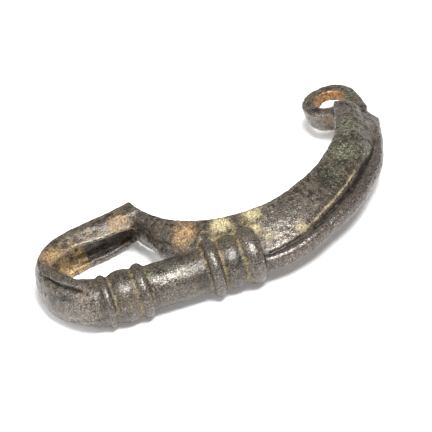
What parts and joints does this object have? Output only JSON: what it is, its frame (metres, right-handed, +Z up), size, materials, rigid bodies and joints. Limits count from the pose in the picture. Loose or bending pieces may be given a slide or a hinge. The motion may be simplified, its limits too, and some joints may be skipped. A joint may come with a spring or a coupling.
{
  "type": "fibula brooch",
  "caption": "Ancient cast bronze fibula brooch, arched bow with a pierced head lug, pin gutter and a returned foot rod with ring mouldings; spring and pin lost.",
  "frame": {"origin": "middle of the underside of the bounding box, on the surface the brooch lies on", "axes": "+Z up as it lies on its side, +X from the foot towards the head along the brooch's length, +Y from the outer side of the bow towards the side where the pin was"},
  "size_m": [0.059, 0.0298, 0.0085],
  "materials": {
    "patinated_bronze": "dark brown and grey-green patina, earth in the recesses"
  },
  "bodies": {
    "root": {"brooch_casting": "patinated_bronze"}
  },
  "joints": []
}
